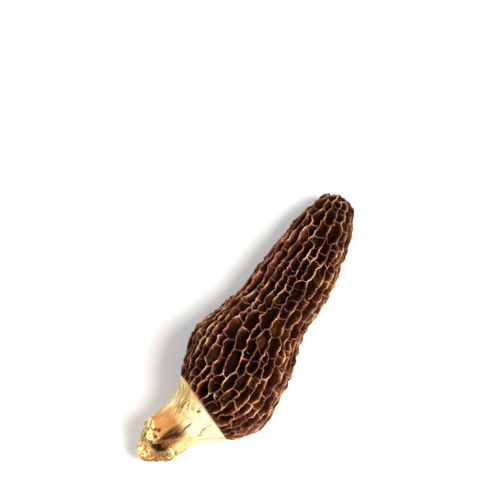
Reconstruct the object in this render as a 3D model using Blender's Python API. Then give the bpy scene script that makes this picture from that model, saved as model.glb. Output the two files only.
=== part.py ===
"""A dried black morel, lying on its side on z = 0, with its tip towards +X.

Metres, +Z up, origin under the middle of the mushroom. Two solids: the hollow cap with its
net of ridges and pits, and the hollow, wrinkled stem that was cut off slantwise.
Run with blender --background --python part.py, or from Blender's text editor.
"""

import math
import random

import bpy
import numpy as np
from mathutils import Matrix, Vector, noise
from mathutils.geometry import delaunay_2d_cdt

# The curve that the mushroom follows, tip last. It bends sideways and down to the stem, and
# comes nearer the ground as the cap gets thinner, so that the cap's side lies along it.
SPINE = (
    (-0.0160, 0.0104, 0.0084),
    (-0.0070, 0.0058, 0.0094),
    (0.0000, 0.0026, 0.0103),
    (0.0060, 0.0009, 0.0108),
    (0.0120, 0.0009, 0.0107),
    (0.0190, 0.0008, 0.0094),
    (0.0270, 0.0001, 0.0079),
    (0.0360, -0.0002, 0.0072),
    (0.0440, -0.0002, 0.0063),
    (0.0560, 0.0004, 0.0054),
)
# The cross-sections turn with it, over a longer stretch, so that they stay clear of each other.
BEND = math.radians(26)
PITCH = math.radians(6)
BEND_LENGTH = 0.0170
PRESSED = 0.0006  # how far the crests under the mushroom are pressed flat by its weight

# The cap: (x of the spine's point, radius over the ridge crests).
CAP_PROFILE = (
    (0.0000, 0.0078),
    (0.0025, 0.0097),
    (0.0060, 0.0110),
    (0.0110, 0.0110),
    (0.0160, 0.0101),
    (0.0205, 0.0087),
    (0.0255, 0.0078),
    (0.0320, 0.0076),
    (0.0390, 0.0070),
    (0.0450, 0.0059),
    (0.0495, 0.0046),
    (0.0525, 0.0030),
    (0.0537, 0.0000),
)
LUMPS = 0.05  # how far the cap's outline strays from round, as a share of its radius
LUMP_SIZE = 0.014
SKIN = 0.0033  # from the crests in to the hollow
MOUTH_RADIUS = 0.0054  # the hole where the cap's hollow goes on into the stem's
HOLLOW_RINGS = 10
HOLLOW_FROM = 0.0066  # the last ring of the hollow, from the tip along the crests
HOLLOW_END = 0.0040  # its blind end, under the tip

# The net of ridges. Pits stand in columns, this far apart across the cap and along it.
PIT_WIDTH = 0.00200
PIT_LENGTH = 0.00410
PIT_DEPTH = 0.0021
TIP_PIT_DEPTH = 0.0011
TIP_REACH = 0.012  # pits get shallower over this length towards the tip
# Pits get smaller towards the tip and towards the stem: shares of the width and length.
TIP_PIT_SIZE = (0.85, 0.62)
BASE_PIT_SIZE = (0.75, 0.55)
BASE_REACH = 0.008
SIDE_SPREAD = 0.20  # how far a pit strays from its column, as a share of its width
SHORTEST_PIT = 0.65
LONGEST_PIT = 1.40
DEPTH_SPREAD = 0.15
CREST_HALF_WIDTH = 0.00025
CREST_RISE = 0.00010  # the crest's middle line stands over its edges
CREST_WANDER = 0.00016  # how far the crests rise and fall
FOOT_HALF_WIDTH = 0.00044  # half the ridge's width down at the pit's floor
WIDEST_AT = 0.0090  # where along the spine the columns of pits are laid out
COLUMN_SPREAD = 0.25  # how far a column strays from its even place, as a share of its width
FEWEST_COLUMNS = 5
START_SPREAD = 0.2  # how far the first pits stray from every second one's being half a pit on
COLUMN_STEP = 0.0005  # the columns are followed in steps this long
COLUMN_PULL = 0.08  # how fast they spread evenly again after one of them ends
NEARLY_DUE = 0.5  # a column that ends gets one more pit if it would come this soon
TIP_CLEAR = 0.0027  # the columns end this far from the tip, round the one pit on it
BASE_CLEAR = 0.00105  # and this far from the base
RELAX_ROUNDS = 2
LEAST_FLOOR = 0.2  # a pit's floor keeps at least this share of its width and length
SEED = 11

# The stem: (distance along the spine from the cap's base, radius). It flares to the cap.
STEM_PROFILE = (
    (-0.0017, 0.0096),
    (0.0000, 0.0078),
    (0.0017, 0.0063),
    (0.0032, 0.0054),
    (0.0055, 0.0048),
    (0.0085, 0.0046),
    (0.0115, 0.0048),
    (0.0160, 0.0047),
    (0.0210, 0.0046),
)
# The cut: its middle, and how much shorter it leaves the top, the left and the sides.
CUT_LENGTH = 0.0110
CUT_TOP = 0.0015
CUT_LEFT = -0.0002
CUT_SIDES = 0.0014
CUT_RAGGED = 0.0005
CUT_NOTCHES = 3  # noise cells in the cut's radius
STEM_FLATNESS = 0.92  # its height over its width
# The top of the stem has sunk in as it dried.
DENT_DEPTH = 0.0034
DENT_AT = math.radians(98)
DENT_HALF_WIDTH = math.radians(68)
DENT_FROM = 0.0035
DENT_TO = 0.0105
STEM_WALL = 0.0012
RIM_BULGE = 0.0004  # how far the middle of the cut edge stands out
STEM_AROUND = 52
STEM_ROWS = 15
BORE_ROWS = 9
BORE_FROM = 0.2  # share of the stem's length where the bore starts to widen to the cap
FOLD_DEPTH = 0.0005
FOLD_LENGTH = 0.0200
FOLD_FADE = 0.0040  # the folds fade out over this length at the cap
FOLD_COUNT = 2.3  # noise cells in the stem's radius, so about 14 folds round it
JOINT_GAP = 0.0003  # between the solids of the cap and the stem


def clear_scene():
    for thing in list(bpy.data.objects):
        bpy.data.objects.remove(thing)


def smooth_line(points, per_span=24):
    """A curve through the points, as rows of an array: a Catmull-Rom spline."""
    knots = np.array(points, float)
    share = np.linspace(0, 1, per_span, endpoint=False)[:, None]
    spans = []
    for before, start, end, after in zip(knots, knots[1:], knots[2:], knots[3:]):
        spans.append(
            start
            + share * (end - before) / 2
            + share**2 * (2 * before - 5 * start + 4 * end - after) / 2
            + share**3 * (3 * start - before - 3 * end + after) / 2
        )
    return np.vstack([*spans, knots[-2]])


def smooth_step(share):
    share = min(max(share, 0), 1)
    return share * share * (3 - 2 * share)


def cap_outline():
    """The cap's outline from tip to stem: how far along the surface, spine place, radius."""
    (base_x, base_r), (next_x, next_r) = CAP_PROFILE[:2]
    beyond_base = (2 * base_x - next_x, 2 * base_r - next_r)
    beyond_tip = (CAP_PROFILE[-2][0], -CAP_PROFILE[-2][1])
    line = smooth_line([beyond_base, *CAP_PROFILE, beyond_tip])[::-1]
    steps = np.linalg.norm(np.diff(line, axis=0), axis=1)
    return np.concatenate([[0], np.cumsum(steps)]), line[:, 0], line[:, 1]


ARC, ALONG, RADIUS = cap_outline()
BASE_ARC = ARC[-1]
ALONG_SLOPE = np.gradient(ALONG, ARC)
RADIUS_SLOPE = np.gradient(RADIUS, ARC)


def radius_at(arc):
    return float(np.interp(arc, ARC, RADIUS))


SPINE_LINE = smooth_line(
    [2 * np.array(SPINE[0]) - SPINE[1], *SPINE, 2 * np.array(SPINE[-1]) - SPINE[-2]]
)


def spine(x):
    """(centre, left, top) of the cross-section at that place on the spine."""
    turn = smooth_step(1 - x / BEND_LENGTH)
    frame = Matrix.Rotation(-BEND * turn, 3, "Z") @ Matrix.Rotation(-PITCH * turn, 3, "Y")
    centre = [float(np.interp(x, SPINE_LINE[:, 0], SPINE_LINE[:, i])) for i in range(3)]
    return Vector(centre), frame.col[1].copy(), frame.col[2].copy()


def cap_point(theta, arc, depth=0.0):
    """The point at that angle round the cap and distance from its tip, that deep under the crests."""
    x = float(np.interp(arc, ARC, ALONG)) - depth * float(np.interp(arc, ARC, RADIUS_SLOPE))
    radius = radius_at(arc) + depth * float(np.interp(arc, ARC, ALONG_SLOPE))
    centre, left, top = spine(x)
    outwards = left * math.cos(theta) + top * math.sin(theta)
    lump = LUMPS * noise.noise((centre + outwards * radius_at(arc)) / LUMP_SIZE)
    fade = min(1, max(x, 0) / BASE_REACH)
    return centre + outwards * radius * (1 + lump * fade)


# The net of ridges, worked out in (angle, distance from the tip).


def half_turn(angle):
    """The same angle, between minus and plus half a turn."""
    return (angle + math.pi) % math.tau - math.pi


def thin_out(columns, most):
    """Ends the columns that stand closest to their neighbours, until at most so many go on."""
    while len(columns) > most:
        gaps = [
            (columns[(i + 1) % len(columns)][0] - columns[i - 1][0]) % math.tau
            for i in range(len(columns))
        ]
        columns.pop(gaps.index(min(gaps)))


def spread_out(columns):
    """Each column moves a part of the way to the middle between its neighbours."""
    angles = [angle for angle, _ in columns]
    for i, column in enumerate(columns):
        before = half_turn(angles[i - 1] - angles[i])
        after = half_turn(angles[(i + 1) % len(angles)] - angles[i])
        column[0] = angles[i] + COLUMN_PULL * (before + after) / 2


def pit_size(arc):
    """(width, length) of the pits at that distance from the tip."""
    reaches = (0, TIP_REACH, BASE_ARC - BASE_REACH, BASE_ARC)
    width, length = (
        float(np.interp(arc, reaches, (at_tip, 1, 1, at_base)))
        for at_tip, at_base in zip(TIP_PIT_SIZE, BASE_PIT_SIZE)
    )
    return PIT_WIDTH * width, PIT_LENGTH * length


def pit_columns(arcs, columns, rng):
    """Pits of uneven length in columns, which end one by one where the cap gets narrow.

    A column is [its angle, the distance that it has still to go to the middle of its next pit].
    """
    pits, last = [], {}
    for arc in arcs:
        width, length = pit_size(arc)
        thin_out(columns, max(FEWEST_COLUMNS, round(math.tau * radius_at(arc) / width)))
        spread_out(columns)
        for column in columns:
            column[1] -= COLUMN_STEP / length
            if column[1] > 0:
                continue
            column[1] += rng.uniform(SHORTEST_PIT, LONGEST_PIT)
            sideways = rng.uniform(-1, 1) * SIDE_SPREAD * width / radius_at(arc)
            last[id(column)] = (column[0] + sideways, arc)
            pits.append(last[id(column)])
    for column in columns:
        if column[1] < NEARLY_DUE:
            last[id(column)] = (column[0], float(arcs[-1]))
            pits.append(last[id(column)])
    return pits, [last[id(column)] for column in columns]


def pit_centres():
    """(angle, distance from the tip) of each pit, and of a mirror image past the base."""
    rng = random.Random(SEED)
    belly = float(np.interp(-WIDEST_AT, -ALONG, ARC))
    count = round(math.tau * radius_at(belly) / PIT_WIDTH)
    columns = []
    for i in range(count):
        angle = math.tau * (i + rng.uniform(-1, 1) * COLUMN_SPREAD) / count
        columns.append((angle, i % 2 / 2 + rng.uniform(-1, 1) * START_SPREAD))
    to_tip = np.arange(belly, TIP_CLEAR, -COLUMN_STEP)
    to_base = np.arange(belly, BASE_ARC - BASE_CLEAR, COLUMN_STEP)
    upper, _ = pit_columns(to_tip, [[angle, wait + 0.25] for angle, wait in columns], rng)
    lower, last = pit_columns(to_base, [[angle, 0.75 - wait] for angle, wait in columns], rng)
    mirrored = [(angle, 2 * BASE_ARC - arc) for angle, arc in last]
    return [(0.0, 0.0), *upper, *lower], mirrored


def flat_map(places):
    """A plane map of the cap that keeps the shape of anything one pit in size.

    The tip is its centre and the base its unit circle. Lengths along the cap count less
    than widths, so that an even net on the map is a long-meshed one on the cap.
    """
    stretch = PIT_LENGTH / PIT_WIDTH
    steps = np.diff(ARC) / (stretch * np.maximum(RADIUS[1:], 1e-5))
    to_base = np.concatenate([np.cumsum(steps[::-1])[::-1], [0]])
    for angle, arc in places:
        over = max(arc - BASE_ARC, 0)
        far = float(np.interp(BASE_ARC - over if over else arc, ARC, to_base))
        size = math.exp(far if over else -far) if arc > 0 else 0.0
        yield Vector((size * math.cos(angle), size * math.sin(angle)))


def mean_place(places):
    """The middle of some places on the cap. It works across the tip too."""
    across = sum(radius_at(a) * complex(math.cos(t), math.sin(t)) for t, a in places)
    angle = math.atan2(across.imag, across.real)
    arc = sum(
        a - float(np.interp(a, ARC, RADIUS_SLOPE)) * radius_at(a) * (1 - math.cos(t - angle))
        for t, a in places
    )
    return angle, arc / len(places)


def net():
    """(corners, pits): the places where ridges meet, and for each pit the corners round it.

    The ridges are the lines between neighbouring pits: each triangle of neighbours gives
    one corner. Then each corner is drawn to the middle of its own neighbours.
    """
    centres, mirrored = pit_centres()
    mapped = list(flat_map(centres + mirrored))
    made = delaunay_2d_cdt(mapped, [], [], 0, 1e-9)
    came_from = [group[0] for group in made[3]]
    triangles = [[came_from[v] for v in face] for face in made[2]]
    triangles = [t for t in triangles if min(t) < len(centres)]
    places = centres + [(angle, BASE_ARC) for angle, _ in mirrored]
    corners = [mean_place([places[v] for v in t]) for t in triangles]
    on_base = [max(t) >= len(centres) for t in triangles]
    by_side = {}
    for i, t in enumerate(triangles):
        for a, b in ((t[0], t[1]), (t[1], t[2]), (t[2], t[0])):
            by_side.setdefault(frozenset((a, b)), []).append(i)
    beside = [set() for _ in triangles]
    for pair in by_side.values():
        if len(pair) == 2:
            beside[pair[0]].add(pair[1])
            beside[pair[1]].add(pair[0])
    for _ in range(RELAX_ROUNDS):
        middles = [mean_place([corners[j] for j in near]) for near in beside]
        corners = [mean_place([old, new]) for old, new in zip(corners, middles)]
        corners = [(t, BASE_ARC if low else a) for (t, a), low in zip(corners, on_base)]
    pits = [[] for _ in centres]
    for i, t in enumerate(triangles):
        for v in t:
            if v < len(centres):
                pits[v].append(i)
    return corners, [in_order(ring, corners) for ring in pits], on_base


def local(place, middle):
    """(across, along) of a place, in metres, seen from a pit's middle."""
    return radius_at(place[1]) * half_turn(place[0] - middle[0]), place[1] - middle[1]


def in_order(ring, corners):
    """The corners round one pit, anticlockwise as seen from outside."""
    middle = mean_place([corners[i] for i in ring])
    if middle[1] < PIT_WIDTH:
        return sorted(ring, key=lambda i: corners[i][0])

    def bearing(i):
        across, along = local(corners[i], middle)
        return math.atan2(-along, across)

    return sorted(ring, key=bearing)


def shrunk(ring, corners, by):
    """The places of a pit's corners, brought in by about that much from the ridges' lines."""
    middle = mean_place([corners[i] for i in ring])
    if middle[1] < PIT_WIDTH:
        reach = sum(corners[i][1] for i in ring) / len(ring)
        return [(corners[i][0], corners[i][1] * (1 - by / reach)) for i in ring]
    seen = [local(corners[i], middle) for i in ring]
    half_width = (max(u for u, _ in seen) - min(u for u, _ in seen)) / 2
    half_length = (max(v for _, v in seen) - min(v for _, v in seen)) / 2
    across = max(1 - by / half_width, LEAST_FLOOR)
    along = max(1 - by / half_length, LEAST_FLOOR)
    places = []
    for u, v in seen:
        arc = middle[1] + v * along
        places.append((middle[0] + u * across / radius_at(arc), arc))
    return places


def pit_depth(arc, rng):
    share = min(1, arc / TIP_REACH)
    depth = TIP_PIT_DEPTH + (PIT_DEPTH - TIP_PIT_DEPTH) * share
    return depth * (1 + rng.uniform(-1, 1) * DEPTH_SPREAD)


def cap_mesh():
    """(points, faces) of the cap: ridges and pits outside, the hollow inside, a ring at the base."""
    corners, pits, on_base = net()
    rng = random.Random(SEED)
    points, faces = [], []
    for (theta, arc), low in zip(corners, on_base):
        rise = 0 if low else CREST_RISE + CREST_WANDER * rng.uniform(-1, 1)
        points.append(cap_point(theta, arc, -rise))
    for ring in pits:
        count = len(ring)
        depth = pit_depth(sum(corners[i][1] for i in ring) / count, rng)
        edge = len(points)
        points += [cap_point(*p) for p in shrunk(ring, corners, CREST_HALF_WIDTH)]
        floor = len(points)
        points += [cap_point(*p, depth) for p in shrunk(ring, corners, FOOT_HALF_WIDTH)]
        for i in range(count):
            j = (i + 1) % count
            faces.append((ring[i], ring[j], edge + j, edge + i))
            faces.append((edge + i, edge + j, floor + j, floor + i))
        faces.append(tuple(range(floor, floor + count)))
    base = sorted((i for i, low in enumerate(on_base) if low), key=lambda i: corners[i][0])
    add_hollow(points, faces, base, [corners[i][0] for i in base])
    return points, faces


def add_hollow(points, faces, rim, angles):
    """The ring round the mouth at the cap's base, and the hollow's wall up to its blind end."""
    centre, left, top = spine(0)
    rows = [rim]

    def add_row(places):
        rows.append(range(len(points), len(points) + len(angles)))
        points.extend(places)

    add_row([centre + MOUTH_RADIUS * (left * math.cos(t) + top * math.sin(t)) for t in angles])
    for arc in np.linspace(BASE_ARC, HOLLOW_FROM, HOLLOW_RINGS):
        add_row([cap_point(t, arc, SKIN) for t in angles])
    for outer, inner in zip(rows, rows[1:]):
        for i in range(len(angles)):
            j = (i + 1) % len(angles)
            faces.append((outer[j], outer[i], inner[i], inner[j]))
    points.append(cap_point(0, 0, HOLLOW_END))
    for i in range(len(angles)):
        faces.append((rows[-1][(i + 1) % len(angles)], rows[-1][i], len(points) - 1))


# The stem.


STEM_LINE = smooth_line(STEM_PROFILE)


def stem_radius(theta, along):
    """The stem's radius with its lengthwise folds, which fade at the cap, and its dent."""
    plain = float(np.interp(along, STEM_LINE[:, 0], STEM_LINE[:, 1]))
    across, up = FOLD_COUNT * math.cos(theta), FOLD_COUNT * math.sin(theta)
    crease = 1 - 2 * abs(noise.noise(Vector((across, up, along / FOLD_LENGTH))))
    fold = FOLD_DEPTH * min(1, along / FOLD_FADE) * crease
    off = min(abs(half_turn(theta - DENT_AT)) / DENT_HALF_WIDTH, 1)
    dent = DENT_DEPTH * smooth_step((along - DENT_FROM) / (DENT_TO - DENT_FROM))
    return plain - fold - dent * math.cos(off * math.pi / 2) ** 2


def stem_point(theta, along, radius):
    """A point of the stem, which follows the spine back from the cap's base."""
    centre, left, top = spine(-along)
    return centre + (left * math.cos(theta) + top * math.sin(theta) * STEM_FLATNESS) * radius


def cut_at(theta):
    """Where the slanting, ragged cut ends the stem on that side."""
    across, up = math.cos(theta), math.sin(theta)
    ragged = noise.noise(Vector((CUT_NOTCHES * across, CUT_NOTCHES * up, SEED)))
    shorter = CUT_TOP * up + CUT_LEFT * across + CUT_SIDES * math.cos(2 * theta)
    return CUT_LENGTH - shorter + CUT_RAGGED * ragged


def stem_mesh():
    """(points, faces) of the stem: outside, cut rim, bore, and the ring against the cap."""
    angles = [math.tau * i / STEM_AROUND for i in range(STEM_AROUND)]
    points, rows = [], []

    def add_row(share, inset, past_cut=0.0):
        rows.append(range(len(points), len(points) + len(angles)))
        for theta in angles:
            along = JOINT_GAP + share * (cut_at(theta) - JOINT_GAP) + past_cut
            points.append(stem_point(theta, along, stem_radius(theta, along) - inset))

    for share in np.linspace(0, 1, STEM_ROWS):
        add_row(share, 0.0)
    add_row(1, STEM_WALL / 2, RIM_BULGE)
    for share in np.linspace(1, BORE_FROM, BORE_ROWS):
        add_row(share, STEM_WALL)
    rows.append(range(len(points), len(points) + len(angles)))
    points += [stem_point(t, JOINT_GAP, MOUTH_RADIUS) for t in angles]
    faces = []
    for near, far in zip(rows, [*rows[1:], rows[0]]):
        for i in range(len(angles)):
            j = (i + 1) % len(angles)
            faces.append((near[j], near[i], far[i], far[j]))
    return points, faces


# The whole mushroom, laid down.


def lay_down(meshes):
    """Sets the meshes on z = 0, with the crests that they lie on pressed flat, and centres them."""
    every = np.array([p for points, _ in meshes for p in points])
    low, high = every.min(axis=0), every.max(axis=0)
    shift = Vector((-(low[0] + high[0]) / 2, -(low[1] + high[1]) / 2, -low[2] - PRESSED))
    for points, _ in meshes:
        points[:] = [p + shift for p in points]
        for p in points:
            p.z = max(p.z, 0)


def finish(name, colour, roughness):
    material = bpy.data.materials.new(name)
    material.use_nodes = True
    shader = material.node_tree.nodes["Principled BSDF"]
    shader.inputs["Base Color"].default_value = (*colour, 1)
    shader.inputs["Roughness"].default_value = roughness
    shader.inputs["Metallic"].default_value = 0
    material.diffuse_color = (*colour, 1)
    return material


def add_solid(name, mesh, material):
    data = bpy.data.meshes.new(name)
    data.from_pydata(mesh[0], [], mesh[1])
    data.materials.append(material)
    made = bpy.data.objects.new(name, data)
    bpy.context.scene.collection.objects.link(made)
    return made


def main():
    clear_scene()
    cap, stem = cap_mesh(), stem_mesh()
    lay_down([cap, stem])
    add_solid("cap", cap, finish("cap_brown", (0.075, 0.030, 0.014), 0.7))
    stem_object = add_solid("stem", stem, finish("stem_cream", (0.78, 0.56, 0.27), 0.75))
    stem_object.data.shade_smooth()


main()
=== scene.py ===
"""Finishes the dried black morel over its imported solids: the cap with its net of ridges and
pits, and the cut stem. Laid out as an add-on with one operator for each piece and one for
the floor, light and camera; main() runs them in order.

The cap's net and the stem's outline come from the same named values and the same steps as
the solids, so each finished piece lies where its solid does. Metres, +Z up.
"""

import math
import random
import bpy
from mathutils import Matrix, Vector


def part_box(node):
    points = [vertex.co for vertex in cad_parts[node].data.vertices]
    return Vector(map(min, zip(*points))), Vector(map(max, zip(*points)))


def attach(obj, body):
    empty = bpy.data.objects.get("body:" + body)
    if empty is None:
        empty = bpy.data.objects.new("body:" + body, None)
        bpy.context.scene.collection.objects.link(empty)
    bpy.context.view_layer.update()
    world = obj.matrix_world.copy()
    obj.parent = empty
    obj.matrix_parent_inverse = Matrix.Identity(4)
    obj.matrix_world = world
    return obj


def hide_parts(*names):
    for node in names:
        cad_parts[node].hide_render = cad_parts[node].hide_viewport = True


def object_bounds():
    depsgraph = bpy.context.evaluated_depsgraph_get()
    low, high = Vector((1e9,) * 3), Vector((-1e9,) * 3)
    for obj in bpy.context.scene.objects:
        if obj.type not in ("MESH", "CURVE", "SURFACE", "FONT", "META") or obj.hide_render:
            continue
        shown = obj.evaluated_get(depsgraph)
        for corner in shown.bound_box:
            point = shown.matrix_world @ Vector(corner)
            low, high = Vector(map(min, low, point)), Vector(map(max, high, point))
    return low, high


bl_info = {
    "name": "Dried black morel",
    "version": (1, 0, 0),
    "blender": (4, 5, 0),
    "location": "3D View > Sidebar > Morel",
    "description": "Builds a dried black morel with its cut stem over the packed solids",
    "category": "Add Mesh",
}

import bpy
import numpy as np
from bpy.props import FloatProperty, FloatVectorProperty, PointerProperty
from mathutils import Matrix, Vector, noise
from mathutils.geometry import delaunay_2d_cdt

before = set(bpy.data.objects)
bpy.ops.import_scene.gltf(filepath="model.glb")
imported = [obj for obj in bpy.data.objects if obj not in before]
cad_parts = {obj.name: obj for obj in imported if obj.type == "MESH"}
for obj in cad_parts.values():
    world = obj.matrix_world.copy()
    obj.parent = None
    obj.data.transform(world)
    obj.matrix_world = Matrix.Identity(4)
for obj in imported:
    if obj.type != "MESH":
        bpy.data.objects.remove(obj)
CAD_BOX = [list(corner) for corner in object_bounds()]

# The shape that the finish shares with the solids.

SPINE = (
    (-0.0160, 0.0104, 0.0084),
    (-0.0070, 0.0058, 0.0094),
    (0.0000, 0.0026, 0.0103),
    (0.0060, 0.0009, 0.0108),
    (0.0120, 0.0009, 0.0107),
    (0.0190, 0.0008, 0.0094),
    (0.0270, 0.0001, 0.0079),
    (0.0360, -0.0002, 0.0072),
    (0.0440, -0.0002, 0.0063),
    (0.0560, 0.0004, 0.0054),
)
BEND = math.radians(26)
PITCH = math.radians(6)
BEND_LENGTH = 0.0170
CAP_PROFILE = (
    (0.0000, 0.0078),
    (0.0025, 0.0097),
    (0.0060, 0.0110),
    (0.0110, 0.0110),
    (0.0160, 0.0101),
    (0.0205, 0.0087),
    (0.0255, 0.0078),
    (0.0320, 0.0076),
    (0.0390, 0.0070),
    (0.0450, 0.0059),
    (0.0495, 0.0046),
    (0.0525, 0.0030),
    (0.0537, 0.0000),
)
LUMPS = 0.05
LUMP_SIZE = 0.014
SKIN = 0.0033
MOUTH_RADIUS = 0.0054
HOLLOW_RINGS = 10
HOLLOW_FROM = 0.0066
HOLLOW_END = 0.0040
PIT_WIDTH = 0.00200
PIT_LENGTH = 0.00410
PIT_DEPTH = 0.0021
TIP_PIT_DEPTH = 0.0011
TIP_REACH = 0.012
TIP_PIT_SIZE = (0.85, 0.62)
BASE_PIT_SIZE = (0.75, 0.55)
BASE_REACH = 0.008
SIDE_SPREAD = 0.20
SHORTEST_PIT = 0.65
LONGEST_PIT = 1.40
DEPTH_SPREAD = 0.15
CREST_RISE = 0.00010
CREST_WANDER = 0.00016
WIDEST_AT = 0.0090
COLUMN_SPREAD = 0.25
FEWEST_COLUMNS = 5
START_SPREAD = 0.2
COLUMN_STEP = 0.0005
COLUMN_PULL = 0.08
NEARLY_DUE = 0.5
TIP_CLEAR = 0.0027
BASE_CLEAR = 0.00105
RELAX_ROUNDS = 2
LEAST_FLOOR = 0.2
SEED = 11
STEM_PROFILE = (
    (-0.0017, 0.0096),
    (0.0000, 0.0078),
    (0.0017, 0.0063),
    (0.0032, 0.0054),
    (0.0055, 0.0048),
    (0.0085, 0.0046),
    (0.0115, 0.0048),
    (0.0160, 0.0047),
    (0.0210, 0.0046),
)
CUT_LENGTH = 0.0110
CUT_TOP = 0.0015
CUT_LEFT = -0.0002
CUT_SIDES = 0.0014
CUT_RAGGED = 0.0005
CUT_NOTCHES = 3
STEM_FLATNESS = 0.92
DENT_DEPTH = 0.0034
DENT_AT = math.radians(98)
DENT_HALF_WIDTH = math.radians(68)
DENT_FROM = 0.0035
DENT_TO = 0.0105
STEM_WALL = 0.0012
RIM_BULGE = 0.0004
BORE_FROM = 0.2
FOLD_DEPTH = 0.0005
FOLD_COUNT = 2.3
FOLD_LENGTH = 0.0200
FOLD_FADE = 0.0040

# The finer cap. A crest line is cut into segments of about this length, and into at least
# so many between two corners, or across a pit that is parted.
SEGMENT = 0.00034
FEWEST_SEGMENTS = 2
FEWEST_PARTING_SEGMENTS = 3
# A ridge is drawn by its section, from the crest down to the pit's floor: (how far in from
# the crest line, share of the pit's depth, share of the crest's waver, how much of the
# crest's colour is left).
RIDGE_SECTION = (
    (0.00007, 0.012, 1.00, 0.92),
    (0.00014, 0.100, 0.97, 0.28),
    (0.00022, 0.380, 0.75, 0.03),
    (0.00035, 0.720, 0.30, 0.00),
    (0.00054, 0.960, 0.00, 0.00),
)
# The pit's dished floor: (share of its size, share of the pit's depth).
FLOOR_SECTION = ((0.52, 1.05),)
# The crests' waver: (size of its bends, share of its sway).
WAVERS = ((0.0026, 1.0), (0.0010, 1.0), (0.0005, 0.4))
CREST_BUMP_SIZE = 0.0013
FLOOR_BUMP = 0.00034
FLOOR_BUMP_SIZE = 0.0009
# From this share of its length sideways a ridge begins to count as one across the cap, and
# does wholly this much further on. Such a ridge is narrower and duller by these shares.
CROSS_FROM = 0.55
CROSS_BLEND = 0.35
CROSS_THINNER = 0.35
CROSS_DIMMER = 0.45
# How soon a lowered ridge reaches its full drop: the less, the sooner.
CROSS_SAG = 0.6
PARTING_SAG = 0.5
# How much of the crests' colour the ring at the cap's base has.
BASE_CREST = 0.2
# The crests waver and flow less and less within this distance of the tip.
TIP_LOOSE = 0.004
# The crests get greyer between these two places on the X axis.
TIP_DUSTED = (0.018, 0.040)
# Pits this near the tip are laid out on a plane over it.
TIP_PLANE = 0.0022
# Angles round the cap are worked out as if its radius were at least this.
LEAST_RADIUS = 0.0001
# How far a corner goes towards the line through the corners above and below it, and the
# power that makes the ridges that run lengthwise count most in this.
STRAIGHTER = 0.35
LENGTHWISE_POWER = 4
# A ridge's way and the weight of its neighbours start as these, so that neither is nothing.
FIRST_WAY = (0, 0.0001)
FIRST_WEIGHT = 1e-9
# This share of the pits has a low, thin ridge across them, if they are at least so long. Its
# ends may lie this share of half the pit's size off the middle, and it may bend by this share
# of its own length.
PARTED_SHARE = 0.45
LEAST_PARTED = 0.0026
PARTING_SLANT = 0.45
PARTING_BOW = 0.30
# The pit over the tip is cut in two, and its parts again, in this many rounds, by ridges this
# much lower than its crests, where a part is at least so long.
TIP_PARTINGS = 2
TIP_PARTING_DROP = 0.0003
LEAST_TIP_PARTED = 0.0012
# What the cap's material reads in the hollow: (crest, depth, shade, inside).
HOLLOW_MARKS = (0, 0.5, 0.5, 1)

# The finer stem.
STEM_AROUND = 220
STEM_ROWS = 84
BORE_ROWS = 40
RIM_ROWS = 6
TUBE_RADIUS = 0.0100
MOUTH_INSET = 0.0021
# The first ring is tucked in under the cap's lowest crest, so that no gap shows.
TUCKED_INSET = 0.0005
TUCKED_SHARE = 0.02
WRINKLE_COUNT = 5.0
WRINKLE_LENGTH = 0.020
WRINKLE_WAVER = 0.32
WRINKLE_WAVER_SIZE = 0.0030
WRINKLE_FADE = 0.0006
# Finer wrinkles and crumbs on the others: (how much finer, share of their height).
FINER_WRINKLES = (2.3, 0.6)
FINER_CRUMBS = (2.2, 0.45)
# The wrinkles are lower by this share where the stain's mark is at least the next value, and
# by the third on the flare's side with the painted highlight.
STAIN_SMOOTHER = 0.7
STAIN_SMOOTHEST = 0.5
HIGHLIGHT_SMOOTHER = 0.3
# Wrinkles lower than this get the folds' colour: painted shade in the wrinkles' bottoms.
FOLD_SHADE_UNDER = 0.4
# Crumbs grow over these shares of the stem's length, outside and in the bore.
CRUMB_OUTSIDE = (0.82, 0.93)
CRUMB_INSIDE = (0.80, 0.92)
CRUMB_SIZE = 0.00062
# The cut's edge is made ragged by the noise this far from the one that shapes the crumbs.
RAGGED_NOISE = Vector((0, 0, 9))
# The crevices between the crumbs are coloured under this height, and wholly so this much
# lower, in shares of a crumb: painted shade in the gaps.
CREVICE_SHADE_UNDER = 0.17
CREVICE_SHADE_BLEND = 0.2
# What counts as the bore: from this deep in the wall, over this much of it, and beyond
# this share of the stem's length.
INNER_FROM = 0.3 * STEM_WALL
INNER_BLEND = 0.6 * STEM_WALL
INNER_BEYOND = 0.02
# The wrinkles' colour follows a grain that runs along the stem: this much longer than wide,
# and laid out on a tube of this radius.
GRAIN_LENGTH = 3.2
GRAIN_RADIUS = 0.0055
# Places on the stem: (angle in degrees, distance from the cap, half angle, half length).
# The first of these, on the flare, is a painted highlight: its side towards the light made pale,
# near white.
PALE_HIGHLIGHT = (138, 0.0012, 75, 0.0062)
STAIN = (82, 0.0084, 92, 0.0050)
# These dark spots are partly painted shadow, in the dent's deep part near the cut, and partly dark
# specks.
DENT_SHADOW_AND_SPECKS = (
    (115, 0.0079, 42, 0.0042),
    (130, 0.0097, 24, 0.0020),
    (65, 0.0088, 9, 0.0007),
    (74, 0.0100, 9, 0.0007),
    (58, 0.0093, 6, 0.0005),
)
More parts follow.
